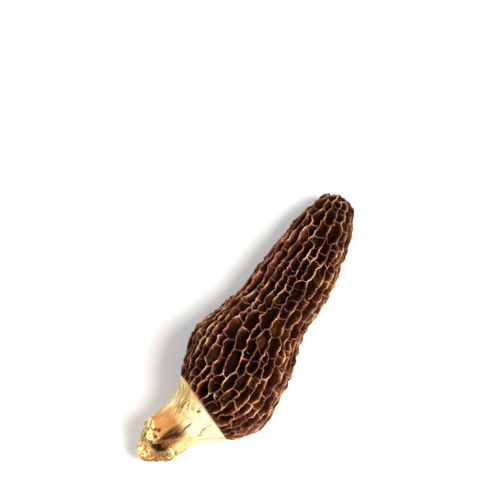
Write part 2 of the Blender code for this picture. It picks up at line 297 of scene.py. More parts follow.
# Short creases: (angle in degrees at its start and at its end, how far from the cap it starts
# and ends, half its width).
# Their dark colour is painted shade in the creases.
CREASES = (
    (111, 123, 0.0030, 0.0060, 0.00044),
    (132, 157, 0.0008, 0.0046, 0.00040),
    (101, 102, 0.0008, 0.0018, 0.00034),
    (78, 83, 0.0015, 0.0031, 0.00026),
    (66, 69, 0.0020, 0.0038, 0.00020),
    (51, 53, 0.0028, 0.0040, 0.00022),
    (12, 26, 0.0042, 0.0080, 0.00034),
    (24, 52, 0.0072, 0.0107, 0.00036),
    (22, -20, 0.0098, 0.0114, 0.00030),
    (150, 172, 0.0026, 0.0072, 0.00018),
    (96, 100, 0.0040, 0.0068, 0.00018),
)
CREASE_WAVER = 0.07
CREASE_WAVER_SIZE = 0.0013
CREASE_TAPER = 0.7
CREASE_DEPTH = 0.00045
NECK_RADIUS = 0.0050

# The picture. The camera is aimed a little past the middle of the mushroom's box, which so
# lies this far right of and under the middle of the picture, in pixels.
PICTURE_WIDTH = 500
ASIDE = (9.0, 76.3)
CAMERA_AZIMUTH = math.radians(-61)
CAMERA_ELEVATION = math.radians(74)
CAMERA_DISTANCE = 0.375
LENS = 135.0
SENSOR = 36.0
CLIP_START = 0.01

# The stage. Lights: (name, watts, size, azimuth and elevation in degrees, colour).
FLOOR_SIZE = 4.0
FLOOR_CLOUDS = 0.25
FLOOR_DIMMER = 0.98
LIGHT_DISTANCE = 0.6
LIGHTS = (
    ("key light", 4.4, 0.25, 0, 58, (1.0, 0.97, 0.92)),
    ("fill light", 1.4, 0.50, 170, 50, (0.97, 0.98, 1.0)),
)
SURROUND_STRENGTH = 0.42


def smooth_line(points, per_span=24):
    """A curve through the points, as rows of an array: a Catmull-Rom spline."""
    knots = np.array(points, float)
    share = np.linspace(0, 1, per_span, endpoint=False)[:, None]
    spans = []
    for before, start, end, after in zip(knots, knots[1:], knots[2:], knots[3:]):
        spans.append(
            start
            + share * (end - before) / 2
            + share**2 * (2 * before - 5 * start + 4 * end - after) / 2
            + share**3 * (3 * start - before - 3 * end + after) / 2
        )
    return np.vstack([*spans, knots[-2]])


def smooth_step(share):
    share = min(max(share, 0), 1)
    return share * share * (3 - 2 * share)


def cap_outline():
    """The cap's outline from tip to stem: how far along the surface, spine place, radius."""
    (base_x, base_r), (next_x, next_r) = CAP_PROFILE[:2]
    beyond_base = (2 * base_x - next_x, 2 * base_r - next_r)
    beyond_tip = (CAP_PROFILE[-2][0], -CAP_PROFILE[-2][1])
    line = smooth_line([beyond_base, *CAP_PROFILE, beyond_tip])[::-1]
    steps = np.linalg.norm(np.diff(line, axis=0), axis=1)
    return np.concatenate([[0], np.cumsum(steps)]), line[:, 0], line[:, 1]


ARC, ALONG, RADIUS = cap_outline()
BASE_ARC = ARC[-1]
ALONG_SLOPE = np.gradient(ALONG, ARC)
RADIUS_SLOPE = np.gradient(RADIUS, ARC)
SPINE_LINE = smooth_line(
    [2 * np.array(SPINE[0]) - SPINE[1], *SPINE, 2 * np.array(SPINE[-1]) - SPINE[-2]]
)
STEM_LINE = smooth_line(STEM_PROFILE)


def radius_at(arc):
    return float(np.interp(arc, ARC, RADIUS))


def spine(x):
    """(centre, left, top) of the cross-section at that place on the spine."""
    turn = smooth_step(1 - x / BEND_LENGTH)
    turned = Matrix.Rotation(-BEND * turn, 3, "Z") @ Matrix.Rotation(-PITCH * turn, 3, "Y")
    centre = [float(np.interp(x, SPINE_LINE[:, 0], SPINE_LINE[:, i])) for i in range(3)]
    return Vector(centre), turned.col[1].copy(), turned.col[2].copy()


def cap_point(theta, arc, depth=0.0):
    """The point at that angle and distance from the tip, that deep under the crests."""
    x = float(np.interp(arc, ARC, ALONG)) - depth * float(np.interp(arc, ARC, RADIUS_SLOPE))
    radius = radius_at(arc) + depth * float(np.interp(arc, ARC, ALONG_SLOPE))
    centre, left, top = spine(x)
    outwards = left * math.cos(theta) + top * math.sin(theta)
    lump = LUMPS * noise.noise((centre + outwards * radius_at(arc)) / LUMP_SIZE)
    fade = min(1, max(x, 0) / BASE_REACH)
    return centre + outwards * radius * (1 + lump * fade)


def half_turn(angle):
    """The same angle, between minus and plus half a turn."""
    return (angle + math.pi) % math.tau - math.pi


def turn_by(sideways, arc):
    """The angle round the cap that a length sideways makes, that far from its tip."""
    return sideways / max(radius_at(arc), LEAST_RADIUS)


def neighbours(ring):
    """Each item of a closed ring with the one after it."""
    return zip(ring, [*ring[1:], ring[0]])


# The net of ridges, step by step as in the solids.


def thin_out(columns, most):
    """Ends the columns that stand closest to their neighbours, until at most so many go on."""
    while len(columns) > most:
        gaps = [
            (columns[(i + 1) % len(columns)][0] - columns[i - 1][0]) % math.tau
            for i in range(len(columns))
        ]
        columns.pop(gaps.index(min(gaps)))


def spread_out(columns):
    """Each column moves a part of the way to the middle between its neighbours."""
    angles = [angle for angle, _ in columns]
    for i, column in enumerate(columns):
        before = half_turn(angles[i - 1] - angles[i])
        after = half_turn(angles[(i + 1) % len(angles)] - angles[i])
        column[0] = angles[i] + COLUMN_PULL * (before + after) / 2


def pit_size(arc):
    """(width, length) of the pits at that distance from the tip."""
    reaches = (0, TIP_REACH, BASE_ARC - BASE_REACH, BASE_ARC)
    width, length = (
        float(np.interp(arc, reaches, (at_tip, 1, 1, at_base)))
        for at_tip, at_base in zip(TIP_PIT_SIZE, BASE_PIT_SIZE)
    )
    return PIT_WIDTH * width, PIT_LENGTH * length


def pit_columns(arcs, columns, rng):
    """Pits of uneven length in columns, which end one by one where the cap gets narrow.

    A column is [its angle, the distance that it has still to go to the middle of its next pit].
    """
    pits, last = [], {}
    for arc in arcs:
        width, length = pit_size(arc)
        thin_out(columns, max(FEWEST_COLUMNS, round(math.tau * radius_at(arc) / width)))
        spread_out(columns)
        for column in columns:
            column[1] -= COLUMN_STEP / length
            if column[1] > 0:
                continue
            column[1] += rng.uniform(SHORTEST_PIT, LONGEST_PIT)
            sideways = rng.uniform(-1, 1) * SIDE_SPREAD * width / radius_at(arc)
            last[id(column)] = (column[0] + sideways, arc)
            pits.append(last[id(column)])
    for column in columns:
        if column[1] < NEARLY_DUE:
            last[id(column)] = (column[0], float(arcs[-1]))
            pits.append(last[id(column)])
    return pits, [last[id(column)] for column in columns]


def pit_centres():
    """(angle, distance from the tip) of each pit, and of a mirror image past the base."""
    rng = random.Random(SEED)
    belly = float(np.interp(-WIDEST_AT, -ALONG, ARC))
    count = round(math.tau * radius_at(belly) / PIT_WIDTH)
    columns = []
    for i in range(count):
        angle = math.tau * (i + rng.uniform(-1, 1) * COLUMN_SPREAD) / count
        columns.append((angle, i % 2 / 2 + rng.uniform(-1, 1) * START_SPREAD))
    to_tip = np.arange(belly, TIP_CLEAR, -COLUMN_STEP)
    to_base = np.arange(belly, BASE_ARC - BASE_CLEAR, COLUMN_STEP)
    upper, _ = pit_columns(to_tip, [[angle, wait + 0.25] for angle, wait in columns], rng)
    lower, last = pit_columns(to_base, [[angle, 0.75 - wait] for angle, wait in columns], rng)
    mirrored = [(angle, 2 * BASE_ARC - arc) for angle, arc in last]
    return [(0.0, 0.0), *upper, *lower], mirrored


def flat_map(places):
    """A plane map of the cap that keeps the shape of anything one pit in size.

    The tip is its centre and the base its unit circle. Lengths along the cap count less
    than widths, so that an even net on the map is a long-meshed one on the cap.
    """
    stretch = PIT_LENGTH / PIT_WIDTH
    steps = np.diff(ARC) / (stretch * np.maximum(RADIUS[1:], 1e-5))
    to_base = np.concatenate([np.cumsum(steps[::-1])[::-1], [0]])
    for angle, arc in places:
        over = max(arc - BASE_ARC, 0)
        far = float(np.interp(BASE_ARC - over if over else arc, ARC, to_base))
        size = math.exp(far if over else -far) if arc > 0 else 0.0
        yield Vector((size * math.cos(angle), size * math.sin(angle)))


def mean_place(places):
    """The middle of some places on the cap. It works across the tip too."""
    across = sum(radius_at(a) * complex(math.cos(t), math.sin(t)) for t, a in places)
    angle = math.atan2(across.imag, across.real)
    arc = sum(
        a - float(np.interp(a, ARC, RADIUS_SLOPE)) * radius_at(a) * (1 - math.cos(t - angle))
        for t, a in places
    )
    return angle, arc / len(places)


def net():
    """(corners, pits, on_base): where ridges meet, and for each pit the corners round it."""
    centres, mirrored = pit_centres()
    mapped = list(flat_map(centres + mirrored))
    made = delaunay_2d_cdt(mapped, [], [], 0, 1e-9)
    came_from = [group[0] for group in made[3]]
    triangles = [[came_from[v] for v in face] for face in made[2]]
    triangles = [t for t in triangles if min(t) < len(centres)]
    places = centres + [(angle, BASE_ARC) for angle, _ in mirrored]
    corners = [mean_place([places[v] for v in t]) for t in triangles]
    on_base = [max(t) >= len(centres) for t in triangles]
    by_side = {}
    for i, t in enumerate(triangles):
        for a, b in ((t[0], t[1]), (t[1], t[2]), (t[2], t[0])):
            by_side.setdefault(frozenset((a, b)), []).append(i)
    beside = [set() for _ in triangles]
    for pair in by_side.values():
        if len(pair) == 2:
            beside[pair[0]].add(pair[1])
            beside[pair[1]].add(pair[0])
    for _ in range(RELAX_ROUNDS):
        middles = [mean_place([corners[j] for j in near]) for near in beside]
        corners = [mean_place([old, new]) for old, new in zip(corners, middles)]
        corners = [(t, BASE_ARC if low else a) for (t, a), low in zip(corners, on_base)]
    pits = [[] for _ in centres]
    for i, t in enumerate(triangles):
        for v in t:
            if v < len(centres):
                pits[v].append(i)
    return corners, [in_order(ring, corners) for ring in pits], on_base


def local(place, middle):
    """(across, along) of a place, in metres, seen from a pit's middle."""
    return radius_at(place[1]) * half_turn(place[0] - middle[0]), place[1] - middle[1]


def in_order(ring, corners):
    """The corners round one pit, anticlockwise as seen from outside."""
    middle = mean_place([corners[i] for i in ring])
    if middle[1] < PIT_WIDTH:
        return sorted(ring, key=lambda i: corners[i][0])

    def bearing(i):
        across, along = local(corners[i], middle)
        return math.atan2(-along, across)

    return sorted(ring, key=bearing)


def pit_depth(arc, rng):
    share = min(1, arc / TIP_REACH)
    depth = TIP_PIT_DEPTH + (PIT_DEPTH - TIP_PIT_DEPTH) * share
    return depth * (1 + rng.uniform(-1, 1) * DEPTH_SPREAD)


def add_marks(data, names, rows):
    """Gives a mesh what its material reads: a row holds the values of one point."""
    for name, values in zip(names, zip(*rows)):
        data.attributes.new(name, "FLOAT", "POINT").data.foreach_set("value", values)


# The finished cap.


def plane_at(middle):
    """Two functions, from a place on the cap to a plane at that middle, and back."""
    if middle[1] > TIP_PLANE:

        def back(spot):
            arc = middle[1] + spot.y
            return middle[0] + turn_by(spot.x, arc), arc

        return lambda place: Vector(local(place, middle)), back
    centre = Vector((math.cos(middle[0]), math.sin(middle[0]))) * middle[1]

    def flat(place):
        return Vector((math.cos(place[0]), math.sin(place[0]))) * place[1] - centre

    def back_over_tip(spot):
        across, up = spot + centre
        return math.atan2(up, across), math.hypot(across, up)

    return flat, back_over_tip


def half_sizes(feet):
    """Half the width and half the length of some places on a plane."""
    across, along = zip(*feet)
    return (max(across) - min(across)) / 2, (max(along) - min(along)) / 2


class CapSurface:
    """The cap's fine mesh as it grows: points, faces, and what the material reads at each point."""

    def __init__(self, look):
        # noise_vector's own seed is the time of day until one is set.
        noise.seed_set(SEED)
        self.look = look
        self.points, self.faces, self.marks = [], [], []
        self.crests = {}
        self.lines = {}
        self.corners, self.pits, self.on_base = net()
        rng = random.Random(SEED)
        rises = [
            0 if low else CREST_RISE + CREST_WANDER * rng.uniform(-1, 1) for low in self.on_base
        ]
        self.laid = self.laid_by(rises)
        self.depths = [
            pit_depth(sum(self.corners[i][1] for i in ring) / len(ring), rng) for ring in self.pits
        ]
        self.flow = self.straighten()
        for place, low, rise in zip(self.corners, self.on_base, rises):
            self.add_crest(place, low, rise, 0)
        self.rng = random.Random(SEED + 1)

    def straighten(self):
        """Moves the corners sideways to straighter lengthwise ridges, and gives the way each runs.

        The way is the direction towards the base of the ridge through a corner.
        """
        beside = [set() for _ in self.corners]
        for ring in self.pits:
            for a, b in neighbours(ring):
                beside[a].add(b)
                beside[b].add(a)
        moved, ways = [], []
        for place, near, low in zip(self.corners, beside, self.on_base):
            way, pull, whole = Vector(FIRST_WAY), 0, FIRST_WEIGHT
            for j in near:
                step = Vector(local(self.corners[j], place))
                weight = (step.y / step.length) ** LENGTHWISE_POWER
                way += step / step.length * math.copysign(weight, step.y)
                pull += weight * step.x
                whole += weight
            loose = 0 if low else min(1, place[1] / TIP_LOOSE)
            sideways = STRAIGHTER * loose * pull / whole
            moved.append((place[0] + turn_by(sideways, place[1]), place[1]))
            ways.append(way.normalized())
        self.corners = moved
        return ways

    def laid_by(self, rises):
        """How far the source moved the cap to lay it down: its top corner against the solid's."""
        plain = [cap_point(*place, -rise) for place, rise in zip(self.corners, rises)]
        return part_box("cap")[1] - Vector([max(p[i] for p in plain) for i in range(3)])

    def add_point(self, point, crest, depth, shade, inside=0.0):
        self.points.append(point)
        self.marks.append((crest, depth, shade, inside))
        return len(self.points) - 1

    def add_crest(self, foot, low, rise, cross):
        """A point of a crest line: it wavers and bumps about the place of its ridge's foot."""
        here = cap_point(*foot)
        sway = Vector((0, 0, 0))
        for size, share in WAVERS:
            sway += noise.noise_vector(here / size) * (self.look.waver * share)
        sway *= min(1, foot[1] / TIP_LOOSE)
        angle = foot[0] + turn_by(sway.x, foot[1])
        arc = foot[1] if low else foot[1] + sway.y
        bump = self.look.crest_bumps * noise.noise(here / CREST_BUMP_SIZE)
        top = rise if low else rise + bump
        crest = BASE_CREST if low else 1 - CROSS_DIMMER * cross
        index = self.add_point(cap_point(angle, arc, -top), crest, 0, 0.5)
        self.crests[index] = (angle, arc, foot, top, cross)
        return index

    def line(self, a, b):
        """The points of the crest from corner a to corner b, made once for both of its pits."""
        low, high = min(a, b), max(a, b)
        if (low, high) not in self.lines:
            start, end = self.corners[low], self.corners[high]
            across, along = local(end, start)
            length = math.hypot(across, along)
            cross = smooth_step((abs(across) / length - CROSS_FROM) / CROSS_BLEND)
            on_rim = self.on_base[low] and self.on_base[high]
            drop = 0 if on_rim else self.look.cross_drop * cross * min(1, start[1] / TIP_REACH)
            turn = half_turn(end[0] - start[0])
            count = max(FEWEST_SEGMENTS, round(length / SEGMENT))
            straight = Vector((across, along))
            flowing = (1 - cross) * min(1, start[1] / TIP_LOOSE)
            leaving, arriving = (
                (self.flow[i] * math.copysign(length, along) - straight) * flowing
                for i in (low, high)
            )
            made = []
            for step in range(1, count):
                share = step / count
                bow = (leaving * (1 - share) - arriving * share) * (share * (1 - share))
                foot = (
                    start[0] + share * turn + turn_by(bow.x, start[1]),
                    start[1] + share * (end[1] - start[1]) + bow.y,
                )
                rise = self.crests[low][3] * (1 - share) + self.crests[high][3] * share
                sag = math.sin(math.pi * share) ** CROSS_SAG
                made.append(self.add_crest(foot, on_rim, rise - drop * sag, cross * sag))
            self.lines[low, high] = made
        made = self.lines[low, high]
        return made if a == low else made[::-1]

    def crest_loop(self, ring):
        """The points of the closed crest line through the corners of a ring."""
        loop = []
        for a, b in neighbours(ring):
            loop += [a, *self.line(a, b)]
        return loop

    def add_pit(self, ring, depth):
        """One pit, with a low ridge across it in some: rings of points from crests to floor."""
        loop = self.crest_loop(ring)
        shade = self.rng.random()
        middle = mean_place([self.corners[i] for i in ring])
        parts = [loop]
        if middle[1] < PIT_WIDTH:
            for _ in range(TIP_PARTINGS):
                parts = [
                    small
                    for part in parts
                    for small in self.parted(part, TIP_PARTING_DROP, LEAST_TIP_PARTED)
                ]
        elif self.rng.random() < PARTED_SHARE:
            parts = self.parted(loop, self.look.parting_drop * depth / PIT_DEPTH, LEAST_PARTED)
        for part in parts:
            self.fill_pit(part, depth, shade)

    def parted(self, loop, drop, least):
        """The loop of a pit cut in two by a low ridge across it, if it is at least that long."""
        feet = [self.crests[i][2] for i in loop]
        flat, back = plane_at(mean_place(feet))
        feet = [flat(foot) for foot in feet]
        half_width, half_length = half_sizes(feet)
        if 2 * max(half_width, half_length) < least:
            return [loop]
        spots = [foot.yx for foot in feet] if half_width > half_length else feet
        ends = []
        for side in (-1, 1):
            aim = max(half_width, half_length) * self.rng.uniform(-1, 1) * PARTING_SLANT
            sided = [k for k, spot in enumerate(spots) if spot.x * side > 0]
            ends.append(min(sided, key=lambda k: abs(spots[k].y - aim)))
        first, last = min(ends), max(ends)
        chord = feet[last] - feet[first]
        count = max(FEWEST_PARTING_SEGMENTS, round(chord.length / SEGMENT))
        bow = Vector((-chord.y, chord.x)) * self.rng.uniform(-1, 1) * PARTING_BOW
        ridge = []
        for step in range(1, count):
            middling = math.sin(math.pi * step / count)
            foot = back(feet[first] + chord * (step / count) + bow * middling)
            sag = middling**PARTING_SAG
            ridge.append(self.add_crest(foot, False, -drop * sag, 1))
        return [
            loop[first : last + 1] + ridge[::-1],
            loop[last:] + loop[: first + 1] + ridge,
        ]

    def fill_pit(self, loop, depth, shade):
        """Rings of points from a closed crest line down to the middle of its floor."""
        crests = [self.crests[i] for i in loop]
        middle = mean_place([foot for _, _, foot, _, _ in crests])
        shrink = self.shrinker(crests, middle)
        rows = [loop]
        for inset, share, lean, colour in RIDGE_SECTION:
            row = []
            for k, (_, _, _, rise, cross) in enumerate(crests):
                place = shrink(k, inset * (1 - CROSS_THINNER * cross), lean, 1)
                deep = share * depth - (1 - share) * rise
                crest = colour * (1 - CROSS_DIMMER * cross)
                row.append(self.add_point(cap_point(*place, deep), crest, share, shade))
            rows.append(row)
        for size, share in FLOOR_SECTION:
            row = []
            for k in range(len(loop)):
                place = shrink(k, RIDGE_SECTION[-1][0], 0, size)
                point = cap_point(*place, depth * share)
                relief = FLOOR_BUMP * (1 - 2 * abs(noise.noise(point / FLOOR_BUMP_SIZE)))
                point = cap_point(*place, depth * share - relief)
                row.append(self.add_point(point, 0, share, shade))
            rows.append(row)
        for outer, inner in zip(rows, rows[1:]):
            self.join(outer, inner)
        bottom = self.add_point(cap_point(*middle, depth * FLOOR_SECTION[-1][1]), 0, 1, shade)
        self.faces += [(i, j, bottom) for i, j in neighbours(rows[-1])]

    def shrinker(self, crests, middle):
        """A function that gives a place on a ring inside the pit, for each point of its crests."""
        flat, back = plane_at(middle)
        feet = [flat(foot) for _, _, foot, _, _ in crests]
        tops = [flat((angle, arc)) for angle, arc, _, _, _ in crests]
        half_width, half_length = half_sizes(feet)

        def shrink(k, inset, lean, size):
            place = feet[k].lerp(tops[k], lean) * size
            place.x *= max(1 - inset / half_width, LEAST_FLOOR)
            place.y *= max(1 - inset / half_length, LEAST_FLOOR)
            return back(place)

        return shrink

    def join(self, outer, inner):
        """Faces between two closed rows of points, the outer one nearer the crests."""
        for (a, b), (c, d) in zip(neighbours(outer), neighbours(inner)):
            self.faces.append((a, b, d, c))

    def add_hollow(self):
        """The ring round the mouth at the cap's base, and the hollow's wall up to its end."""
        base = sorted(
            (i for i, low in enumerate(self.on_base) if low), key=lambda i: self.corners[i][0]
        )
        rim = self.crest_loop(base)
        angles = [self.crests[i][0] for i in rim]
        centre, left, top = spine(0)
        rings = [
            [centre + MOUTH_RADIUS * (left * math.cos(t) + top * math.sin(t)) for t in angles]
        ]
        for arc in np.linspace(BASE_ARC, HOLLOW_FROM, HOLLOW_RINGS):
            rings.append([cap_point(t, arc, SKIN) for t in angles])
        rows = [rim]
        rows += [[self.add_point(point, *HOLLOW_MARKS) for point in ring] for ring in rings]
        for outer, inner in zip(rows, rows[1:]):
            self.join(outer[::-1], inner[::-1])
        end = self.add_point(cap_point(0, 0, HOLLOW_END), *HOLLOW_MARKS)
        self.faces += [(j, i, end) for i, j in neighbours(rows[-1])]

    def to_object(self, name):
        """The finished mesh, laid down on z = 0, with the marks as attributes."""
        data = bpy.data.meshes.new(name)
        laid = [p + self.laid for p in self.points]
        data.from_pydata([(p.x, p.y, max(p.z, 0)) for p in laid], [], self.faces)
        add_marks(data, ("crest", "depth", "shade", "inside"), self.marks)
        made = bpy.data.objects.new(name, data)
        bpy.context.scene.collection.objects.link(made)
        return made


def finished_cap(look):
    surface = CapSurface(look)
    for ring, depth in zip(surface.pits, surface.depths):
        surface.add_pit(ring, depth)
    surface.add_hollow()
    return surface.to_object("morel_cap"), surface.laid


# The finished stem.


def stem_radius(theta, along):
    """The stem's radius with its lengthwise folds, which fade at the cap, and its dent."""
    plain = float(np.interp(along, STEM_LINE[:, 0], STEM_LINE[:, 1]))
    across, up = FOLD_COUNT * math.cos(theta), FOLD_COUNT * math.sin(theta)
    crease = 1 - 2 * abs(noise.noise(Vector((across, up, along / FOLD_LENGTH))))
    fold = FOLD_DEPTH * min(1, along / FOLD_FADE) * crease
    off = min(abs(half_turn(theta - DENT_AT)) / DENT_HALF_WIDTH, 1)
    dent = DENT_DEPTH * smooth_step((along - DENT_FROM) / (DENT_TO - DENT_FROM))
    return plain - fold - dent * math.cos(off * math.pi / 2) ** 2


def stem_point(theta, along, radius):
    """A point of the stem, which follows the spine back from the cap's base."""
    centre, left, top = spine(-along)
    return centre + (left * math.cos(theta) + top * math.sin(theta) * STEM_FLATNESS) * radius


def cut_at(theta):
    """Where the slanting, ragged cut ends the stem on that side."""
    across, up = math.cos(theta), math.sin(theta)
    ragged = noise.noise(Vector((CUT_NOTCHES * across, CUT_NOTCHES * up, SEED)))
    shorter = CUT_TOP * up + CUT_LEFT * across + CUT_SIDES * math.cos(2 * theta)
    return CUT_LENGTH - shorter + CUT_RAGGED * ragged


def extrude_ring(rise, radius, was):
    """Extrudes the selected ring of the tube upwards and widens or narrows it to a radius."""
    bpy.ops.mesh.extrude_region_move(TRANSFORM_OT_translate={"value": (0, 0, rise)})
    if radius != was:
        scale = radius / was
        bpy.ops.transform.resize(value=(scale, scale, 1), center_override=(0, 0, 0))
    return radius


def straight_tube():
    """The stem as a straight tube with its bore: height is the share of the stem's length.

    A point's distance in from TUBE_RADIUS is its depth under the stem's outside.
    """
    bpy.ops.object.select_all(action="DESELECT")
    first = TUBE_RADIUS - TUCKED_INSET
    bpy.ops.mesh.primitive_circle_add(
        vertices=STEM_AROUND, radius=first, location=(0, 0, -TUCKED_SHARE)
    )
    tube = bpy.context.object
    bpy.ops.object.transform_apply(location=True)
    bpy.ops.object.mode_set(mode="EDIT")
    bpy.ops.mesh.select_all(action="SELECT")
    radius = extrude_ring(TUCKED_SHARE, TUBE_RADIUS, first)
    for _ in range(STEM_ROWS):
        radius = extrude_ring(1 / STEM_ROWS, TUBE_RADIUS, radius)
    for row in range(RIM_ROWS):
        turn = math.pi * (row + 1) / RIM_ROWS
        bulge = RIM_BULGE / CUT_LENGTH * (math.sin(turn) - math.sin(turn - math.pi / RIM_ROWS))
        inset = STEM_WALL * (1 - math.cos(turn)) / 2
        radius = extrude_ring(bulge, TUBE_RADIUS - inset, radius)
    for row in range(BORE_ROWS):
        share = 1 - (row + 1) / BORE_ROWS
        widening = max(0, 1 - share / BORE_FROM)
        inset = STEM_WALL + (MOUTH_INSET - STEM_WALL) * widening
        radius = extrude_ring(-1 / BORE_ROWS, TUBE_RADIUS - inset, radius)
    bpy.ops.mesh.select_all(action="DESELECT")
    bpy.ops.mesh.select_mode(type="EDGE")
    bpy.ops.mesh.select_non_manifold()
    bpy.ops.mesh.bridge_edge_loops()
    bpy.ops.object.mode_set(mode="OBJECT")
    order_faces(tube)
    return tube


def order_faces(tube):
    """Lists the faces in the order of their points: extruding lists them anew in each run."""
    points = [vertex.co.copy() for vertex in tube.data.vertices]
    faces = []
    for polygon in tube.data.polygons:
        corners = list(polygon.vertices)
        start = corners.index(min(corners))
        faces.append(corners[start:] + corners[:start])
    tube.data.clear_geometry()
    tube.data.from_pydata(points, [], sorted(faces))


def turn_faces_out():
    """Turns the faces of the active object outwards: bending the tube turns it inside out."""
    bpy.ops.object.mode_set(mode="EDIT")
    bpy.ops.mesh.select_all(action="SELECT")
    bpy.ops.mesh.normals_make_consistent(inside=False)
    bpy.ops.object.mode_set(mode="OBJECT")


def bump_at(theta, along, spot):
    """How deep inside a rounded spot on the stem a place is, from 1 in its middle to 0."""
    angle, middle, half_angle, half_length = spot
    off = math.hypot(
        half_turn(theta - math.radians(angle)) / math.radians(half_angle),
        (along - middle) / half_length,
    )
    return smooth_step(1 - off)


def crease_at(theta, along, crease):
    """How deep in a short crease a place is: the crease slants along the stem and wavers."""
    first, last, start, end, half_width = crease
    share = min(max((along - start) / (end - start), 0), 1)
    waver = CREASE_WAVER * noise.noise(Vector((along / CREASE_WAVER_SIZE, first, 0)))
    middle = math.radians(first + (last - first) * share) + waver
    across = abs(half_turn(theta - middle)) * NECK_RADIUS / half_width
    return smooth_step(1 - across) * math.sin(math.pi * share) ** CREASE_TAPER


def shape_stem(tube, laid, look):
    """Bends the straight tube into the stem, wrinkles it, and marks what its material reads."""
    names = ("stain", "spot", "crumb", "crevice_shade_and_specks", "crease", "fold", "pale_highlight", "inside")
    marks, grain = [], []
    finer_wrinkles, wrinkle_share = FINER_WRINKLES
    finer_crumbs, crumb_share = FINER_CRUMBS
    for vertex in tube.data.vertices:
        x, y, share = vertex.co
        theta, inset = math.atan2(y, x), TUBE_RADIUS - math.hypot(x, y)
        along = share * cut_at(theta)
        inner = smooth_step((inset - INNER_FROM) / INNER_BLEND) if share > INNER_BEYOND else 0
        start, full = CRUMB_INSIDE if inner > 0.5 else CRUMB_OUTSIDE
        crumb = smooth_step((share - start) / (full - start))
        crease = max(crease_at(theta, along, c) for c in CREASES) * (1 - inner)
        settled = min(1, max(along, 0) / WRINKLE_FADE)
        plain = stem_point(theta, along, stem_radius(theta, along) - inset)
        bent = theta + WRINKLE_WAVER * noise.noise(plain / WRINKLE_WAVER_SIZE)
        here = Vector((math.cos(bent), math.sin(bent), along / WRINKLE_LENGTH)) * WRINKLE_COUNT
        wrinkle = abs(noise.noise(here)) + wrinkle_share * abs(noise.noise(here * finer_wrinkles))
        lump = 0.5 - noise.voronoi(plain / CRUMB_SIZE)[0][0]
        rough = lump + crumb_share * noise.noise(plain / CRUMB_SIZE * finer_crumbs)
        stain = bump_at(theta, along, STAIN) * (1 - inner)
        # A painted highlight on the flare's lit side.
        pale_highlight = bump_at(theta, along, PALE_HIGHLIGHT) * (1 - inner)
        stained = smooth_step(stain / STAIN_SMOOTHEST)
        settled *= 1 - STAIN_SMOOTHER * stained - HIGHLIGHT_SMOOTHER * pale_highlight
        change = (
            look.wrinkle_depth * (wrinkle - 0.5) * settled * (1 - inner) * (1 - crumb)
            + look.crumb_height * rough * crumb * (1 - 2 * inner)
            - CREASE_DEPTH * crease
        )
        radius = stem_radius(theta, along) - inset + change
        ragged = look.crumb_height * noise.noise(plain / CRUMB_SIZE + RAGGED_NOISE) * crumb
        vertex.co = stem_point(theta, along + ragged, radius) + laid
        # Dark spots: partly painted shadow in the dent's deep part, partly dark specks.
        spot = max(bump_at(theta, along, s) for s in DENT_SHADOW_AND_SPECKS) * (1 - inner)
        # Painted shade in the gaps between the crumbs.
        crevice_shade_and_specks = smooth_step((CREVICE_SHADE_UNDER - lump) / CREVICE_SHADE_BLEND) * crumb
        # Painted shade in the wrinkles' bottoms.
        fold = max(0, 1 - wrinkle / FOLD_SHADE_UNDER) * settled
        marks.append((stain, spot, crumb, crevice_shade_and_specks, crease, fold, pale_highlight, inner))
        across, up = GRAIN_RADIUS * Vector((math.cos(theta), math.sin(theta)))
        grain += (across, up, along / GRAIN_LENGTH)
    add_marks(tube.data, names, marks)
    tube.data.attributes.new("grain", "FLOAT_VECTOR", "POINT").data.foreach_set("vector", grain)


# Materials.


def new_material(name, roughness, specular):
    material = bpy.data.materials.new(name)
    material.use_nodes = True
    shader = material.node_tree.nodes["Principled BSDF"]
    shader.inputs["Roughness"].default_value = roughness
    shader.inputs["Specular IOR Level"].default_value = specular
    return material, material.node_tree, shader


def add_node(tree, kind, inputs, **settings):
    """A node with its settings, and for each input a value or the socket that feeds it."""
    made = tree.nodes.new(kind)
    for name, value in settings.items():
        setattr(made, name, value)
    for name, value in inputs.items():
        if isinstance(value, bpy.types.NodeSocket):
            tree.links.new(value, made.inputs[name])
        else:
            made.inputs[name].default_value = value
    return made


def mark(tree, name):
    return add_node(tree, "ShaderNodeAttribute", {}, attribute_name=name).outputs["Fac"]


def clouds(tree, size, detail=2.0, roughness=0.5, place=None):
    """Soft noise from 0 to 1 whose lumps are about that large, in metres."""
    place = place or add_node(tree, "ShaderNodeTexCoord", {}).outputs["Object"]
    inputs = {"Vector": place, "Scale": 1 / size, "Detail": detail, "Roughness": roughness}
    return add_node(tree, "ShaderNodeTexNoise", inputs).outputs["Fac"]


def ranged(tree, value, low, high, to_low=0.0, to_high=1.0):
    """The value from low to high, smoothly made into one from to_low to to_high."""
    inputs = {"Value": value, "From Min": low, "From Max": high}
    inputs |= {"To Min": to_low, "To Max": to_high}
    made = add_node(tree, "ShaderNodeMapRange", inputs, interpolation_type="SMOOTHSTEP")
    return made.outputs["Result"]


def times(tree, first, second):
    made = add_node(tree, "ShaderNodeMath", {0: first, 1: second}, operation="MULTIPLY")
    return made.outputs["Value"]


# A Mix node has sockets of one name for each kind of data. These are its factor and its two
# colours, and its mixed colour.
MIX_INPUTS = (0, 6, 7)
MIX_OUTPUT = 2


def mixed(tree, share, first, second):
    """The two colours mixed by the share of the second."""
    made = tree.nodes.new("ShaderNodeMix")
    made.data_type = "RGBA"
    for place, value in zip(MIX_INPUTS, (share, first, second)):
        if isinstance(value, bpy.types.NodeSocket):
            tree.links.new(value, made.inputs[place])
        else:
            is_colour = hasattr(value, "__len__")
            made.inputs[place].default_value = (*value, 1) if is_colour else value
    return made.outputs[MIX_OUTPUT]


